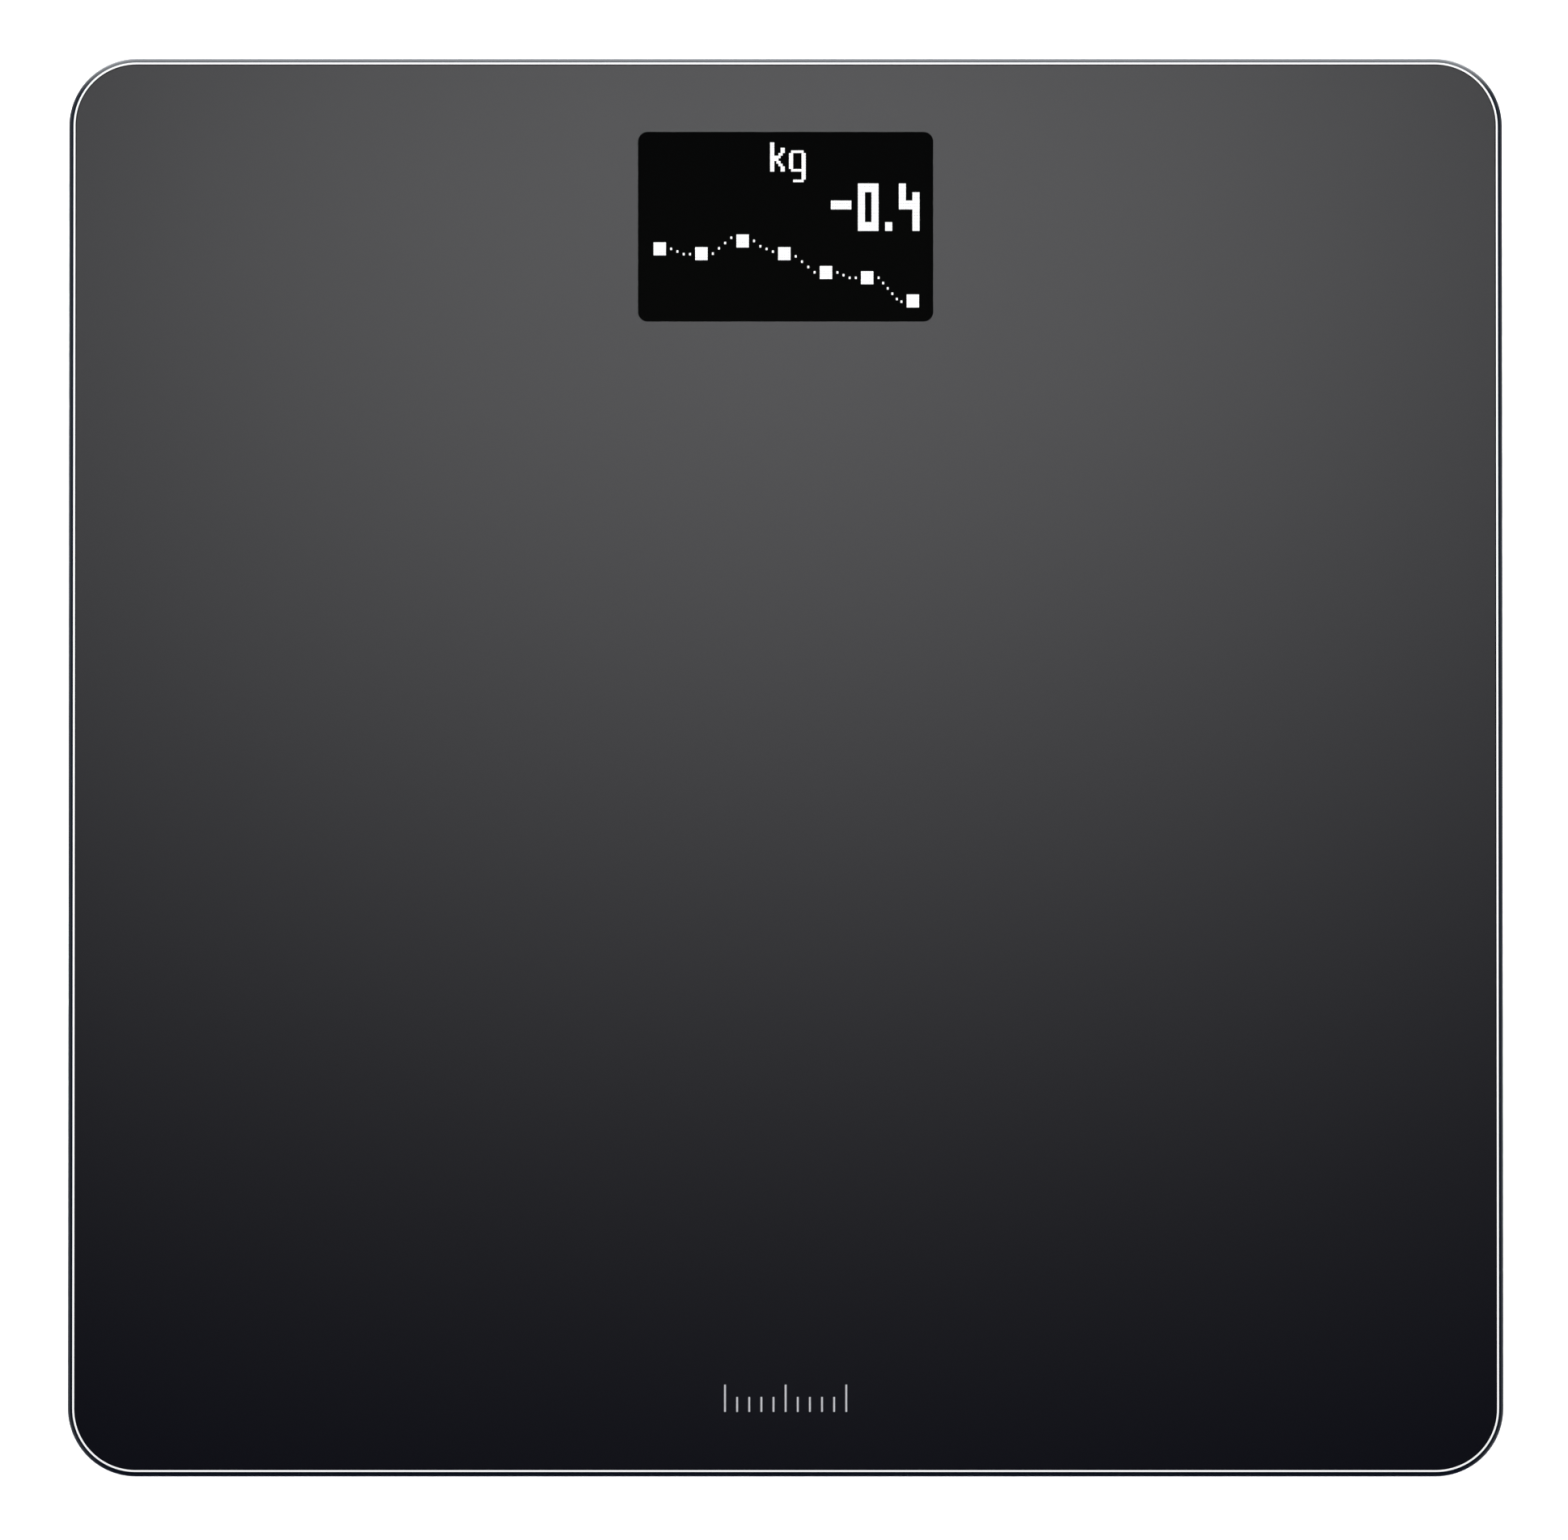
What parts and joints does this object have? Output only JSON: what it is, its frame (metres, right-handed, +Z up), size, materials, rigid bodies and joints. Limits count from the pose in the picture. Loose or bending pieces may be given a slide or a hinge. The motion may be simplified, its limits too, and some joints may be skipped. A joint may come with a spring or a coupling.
{
  "type": "digital bathroom scale",
  "caption": "Flat square bathroom scale: a dark glass platform with a display window over a slim moulded base on sprung rubber feet.",
  "frame": {"origin": "centre of the bounding box, on the floor plane that the rubber feet stand on", "axes": "+Z up through the glass, +Y towards the display edge, +X to the user's right when the readout is upright"},
  "size_m": [0.327, 0.3236, 0.023],
  "materials": {
    "tempered_glass": "clear tempered glass printed from behind in satin black, edges ground and polished",
    "shell_plastic": "moulded, fine spark-eroded texture",
    "frame_plastic": "moulded, smooth matt",
    "foam": "closed-cell foam with adhesive on both faces",
    "foot_plastic": "moulded, smooth matt",
    "foot_rubber": "moulded, dull",
    "cell_steel": "stamped and plated",
    "gauge_resin": "poured silicone coating",
    "cable_jacket": "extruded jacket",
    "board_laminate": "fibreglass laminate with solder mask",
    "chip_plastic": "moulded epoxy",
    "can_steel": "stamped and tinned shield",
    "display_glass": "polished",
    "ribbon_film": "polyimide film",
    "battery_sleeve": "shrink sleeve",
    "contact_nickel": "nickel-plated spring steel",
    "screw_steel": "black zinc",
    "label_paper": "blank printed film"
  },
  "bodies": {
    "base": {"glass_platform": "tempered_glass", "base_shell": "shell_plastic", "top_frame": "frame_plastic", "display_carrier": "frame_plastic", "battery_tray": "frame_plastic", "cell_seat_front_left": "frame_plastic", "cell_seat_front_right": "frame_plastic", "cell_seat_rear_left": "frame_plastic", "cell_seat_rear_right": "frame_plastic", "bond_tape": "foam", "display_gasket": "foam", "load_cell_front_left": "cell_steel", "load_cell_front_right": "cell_steel", "load_cell_rear_left": "cell_steel", "load_cell_rear_right": "cell_steel", "strain_gauge_front_left": "gauge_resin", "strain_gauge_front_right": "gauge_resin", "strain_gauge_rear_left": "gauge_resin", "strain_gauge_rear_right": "gauge_resin", "cell_cable_front_left": "cable_jacket", "cell_cable_front_right": "cable_jacket", "cell_cable_rear_left": "cable_jacket", "cell_cable_rear_right": "cable_jacket", "main_board": "board_laminate", "button_board": "board_laminate", "processor_chip": "chip_plastic", "amplifier_chip": "chip_plastic", "tact_switch": "chip_plastic", "radio_module": "can_steel", "display_panel": "display_glass", "display_ribbon": "ribbon_film", "battery_1": "battery_sleeve", "battery_2": "battery_sleeve", "battery_3": "battery_sleeve", "battery_4": "battery_sleeve", "contact_positive": "contact_nickel", "contact_negative": "contact_nickel", "contact_bridge_1": "contact_nickel", "contact_bridge_2": "contact_nickel", "contact_bridge_3": "contact_nickel", "case_screw_1": "screw_steel", "case_screw_2": "screw_steel", "case_screw_3": "screw_steel", "case_screw_4": "screw_steel", "case_screw_5": "screw_steel", "case_screw_6": "screw_steel", "rating_label": "label_paper"},
    "foot_front_left": {"foot_pad_front_left": "foot_rubber", "foot_cup_front_left": "foot_plastic"},
    "foot_front_right": {"foot_pad_front_right": "foot_rubber", "foot_cup_front_right": "foot_plastic"},
    "foot_rear_left": {"foot_pad_rear_left": "foot_rubber", "foot_cup_rear_left": "foot_plastic"},
    "foot_rear_right": {"foot_pad_rear_right": "foot_rubber", "foot_cup_rear_right": "foot_plastic"},
    "battery_door": {"battery_door": "shell_plastic"},
    "unit_button": {"unit_button": "foot_plastic"}
  },
  "joints": [
    {"name": "foot_front_left_travel", "type": "slide", "parent": "base", "child": "foot_front_left", "axis": [0, 0, 1], "range_m": [0, 0.0006], "stiffness_N_per_m": 1000, "springref_m": -0.008, "deforming": ["load_cell_front_left"]},
    {"name": "foot_front_right_travel", "type": "slide", "parent": "base", "child": "foot_front_right", "axis": [0, 0, 1], "range_m": [0, 0.0006], "stiffness_N_per_m": 1000, "springref_m": -0.008, "deforming": ["load_cell_front_right"]},
    {"name": "foot_rear_left_travel", "type": "slide", "parent": "base", "child": "foot_rear_left", "axis": [0, 0, 1], "range_m": [0, 0.0006], "stiffness_N_per_m": 1000, "springref_m": -0.008, "deforming": ["load_cell_rear_left"]},
    {"name": "foot_rear_right_travel", "type": "slide", "parent": "base", "child": "foot_rear_right", "axis": [0, 0, 1], "range_m": [0, 0.0006], "stiffness_N_per_m": 1000, "springref_m": -0.008, "deforming": ["load_cell_rear_right"]},
    {"name": "battery_door_hinge", "type": "hinge", "parent": "base", "child": "battery_door", "pos_m": [0, 0.0144, 0.004], "axis": [-1, 0, 0], "range_deg": [0, 90]},
    {"name": "unit_button_press", "type": "slide", "parent": "base", "child": "unit_button", "axis": [0, 0, 1], "range_m": [0, 0.0005], "stiffness_N_per_m": 500, "springref_m": -0.001}
  ]
}
